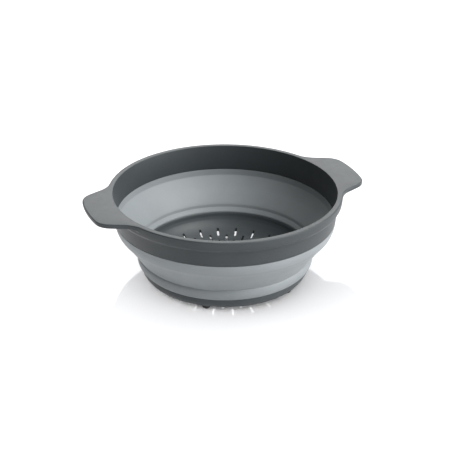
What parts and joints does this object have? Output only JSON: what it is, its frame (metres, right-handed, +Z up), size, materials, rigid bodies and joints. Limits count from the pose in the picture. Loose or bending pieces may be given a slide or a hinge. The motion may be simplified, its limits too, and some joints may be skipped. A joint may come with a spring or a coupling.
{
  "type": "collapsible colander",
  "caption": "Round folding colander: hard rim with two tab handles, soft collapsing wall and a slotted drain base on small feet.",
  "frame": {"origin": "centre of the footprint on the surface that the feet stand on", "axes": "+Z up through the bowl's axis, +X through the two handles"},
  "size_m": [0.2908, 0.24, 0.096],
  "materials": {
    "hard_plastic": "fine satin moulded plastic, dark grey",
    "soft_wall": "matte flexible elastomer, mid grey",
    "foot_rubber": "matte black rubber"
  },
  "bodies": {
    "base": {"base_dish": "hard_plastic", "wall_waist": "soft_wall", "foot_1": "foot_rubber", "foot_2": "foot_rubber", "foot_3": "foot_rubber", "foot_4": "foot_rubber"},
    "rim": {"rim_frame": "hard_plastic", "wall_collar": "soft_wall"},
    "upper_fold": {"wall_upper_fold": "soft_wall"},
    "crease": {"wall_crease_ring": "soft_wall"},
    "middle_fold": {"wall_middle_fold": "soft_wall"},
    "lower_fold": {"wall_lower_fold": "soft_wall"}
  },
  "joints": [
    {"name": "rim_collapse", "type": "slide", "parent": "base", "child": "rim", "axis": [0, 0, 1], "range_m": [-0.056, 0]},
    {"name": "upper_fold_slide", "type": "slide", "parent": "base", "child": "upper_fold", "axis": [0, 0, 1], "range_m": [-0.045, 0]},
    {"name": "crease_slide", "type": "slide", "parent": "base", "child": "crease", "axis": [0, 0, 1], "range_m": [-0.031, 0]},
    {"name": "middle_fold_slide", "type": "slide", "parent": "base", "child": "middle_fold", "axis": [0, 0, 1], "range_m": [-0.0175, 0]},
    {"name": "lower_fold_slide", "type": "slide", "parent": "base", "child": "lower_fold", "axis": [0, 0, 1], "range_m": [-0.0065, 0]}
  ],
  "couplings": [
    {"joint": "upper_fold_slide", "follows": "rim_collapse", "ratio": 0.8},
    {"joint": "crease_slide", "follows": "rim_collapse", "ratio": 0.545},
    {"joint": "middle_fold_slide", "follows": "rim_collapse", "ratio": 0.307},
    {"joint": "lower_fold_slide", "follows": "rim_collapse", "ratio": 0.109}
  ]
}
